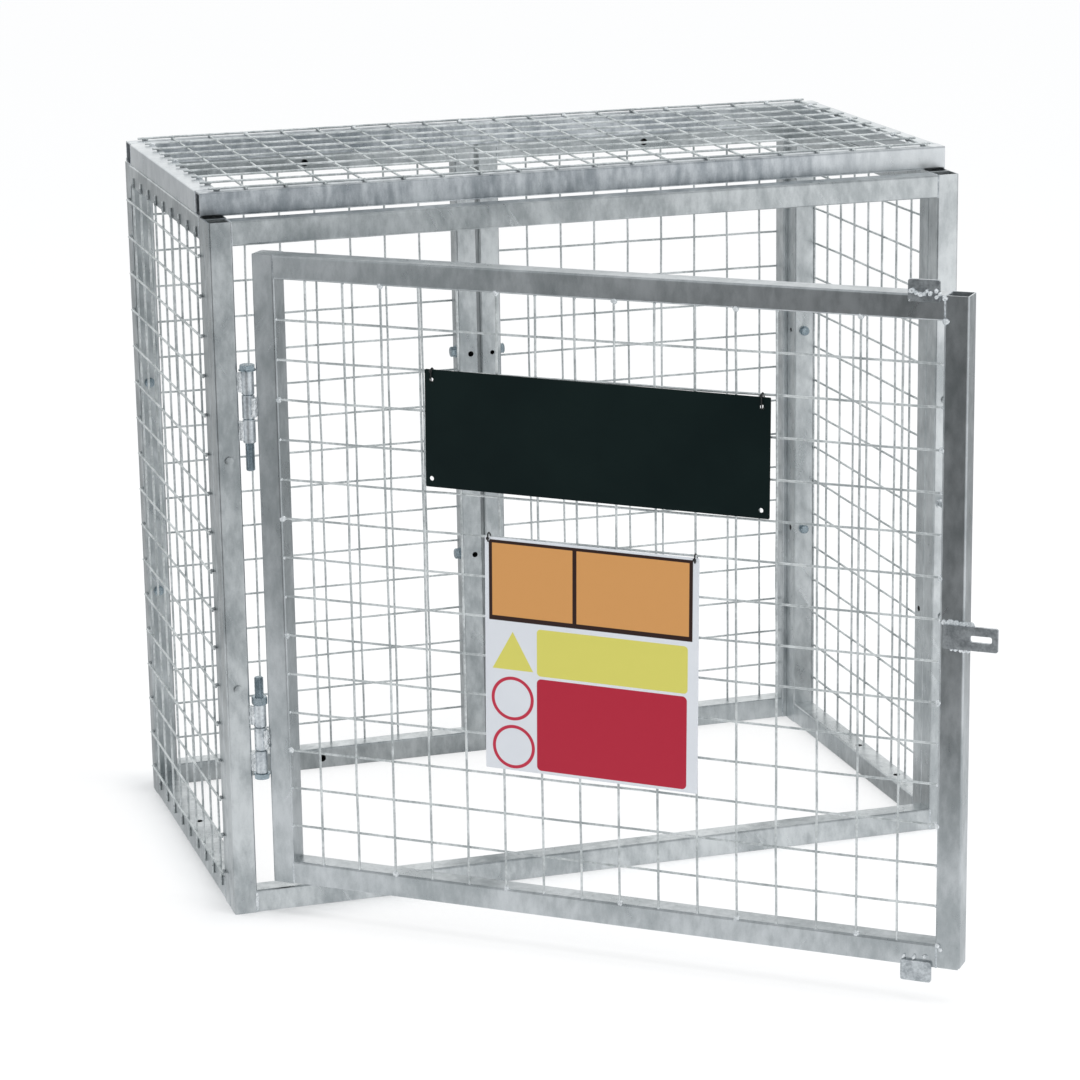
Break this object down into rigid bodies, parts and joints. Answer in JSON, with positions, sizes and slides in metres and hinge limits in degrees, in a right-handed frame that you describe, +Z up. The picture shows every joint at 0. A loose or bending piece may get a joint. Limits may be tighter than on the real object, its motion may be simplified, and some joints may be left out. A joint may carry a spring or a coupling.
{
  "type": "gas cylinder cage",
  "caption": "Free-standing storage cage of square steel tube and welded mesh, with a flat roof, an open floor and one hinged door that shuts inside the front frame.",
  "frame": {"origin": "middle of the front bottom rail's underside, on the ground", "axes": "+X to the right along the front, +Y to the back, +Z up"},
  "size_m": [1.012, 1.1993, 0.939],
  "materials": {
    "galvanised_steel": "hot-dip galvanised, mottled",
    "mesh_wire": "hot-dip galvanised wire",
    "zinc_plated_steel": "bright zinc plated",
    "green_board": "satin",
    "sign_sheet": "semi-gloss with plain coloured fields"
  },
  "bodies": {
    "cage": {"front_left_post": "galvanised_steel", "front_right_post": "galvanised_steel", "front_top_rail": "galvanised_steel", "front_bottom_rail": "galvanised_steel", "left_front_stile": "galvanised_steel", "left_back_stile": "galvanised_steel", "left_top_rail": "galvanised_steel", "left_bottom_rail": "galvanised_steel", "right_front_stile": "galvanised_steel", "right_back_stile": "galvanised_steel", "right_top_rail": "galvanised_steel", "right_bottom_rail": "galvanised_steel", "back_left_outer_stile": "galvanised_steel", "back_left_inner_stile": "galvanised_steel", "back_left_top_rail": "galvanised_steel", "back_left_bottom_rail": "galvanised_steel", "back_right_inner_stile": "galvanised_steel", "back_right_outer_stile": "galvanised_steel", "back_right_top_rail": "galvanised_steel", "back_right_bottom_rail": "galvanised_steel", "roof_front_rail": "galvanised_steel", "roof_back_rail": "galvanised_steel", "roof_left_rail": "galvanised_steel", "roof_right_rail": "galvanised_steel", "post_hinge_knuckles": "galvanised_steel", "hasp_eye": "galvanised_steel", "left_mesh": "mesh_wire", "right_mesh": "mesh_wire", "back_left_mesh": "mesh_wire", "back_right_mesh": "mesh_wire", "roof_mesh": "mesh_wire", "upper_hinge_bolt": "zinc_plated_steel", "lower_hinge_bolt": "zinc_plated_steel"},
    "door": {"door_hinge_stile": "galvanised_steel", "door_lock_stile": "galvanised_steel", "door_top_rail": "galvanised_steel", "door_bottom_rail": "galvanised_steel", "door_hinge_knuckles": "galvanised_steel", "door_stops": "galvanised_steel", "door_mesh": "mesh_wire", "hasp_plate": "galvanised_steel", "name_board": "green_board", "sign_board": "sign_sheet"}
  },
  "joints": [
    {"name": "door_hinge", "type": "hinge", "parent": "cage", "child": "door", "pos_m": [-0.459, -0.02, 0.454], "axis": [0, 0, -1], "range_deg": [-39.5, 130.5]}
  ]
}
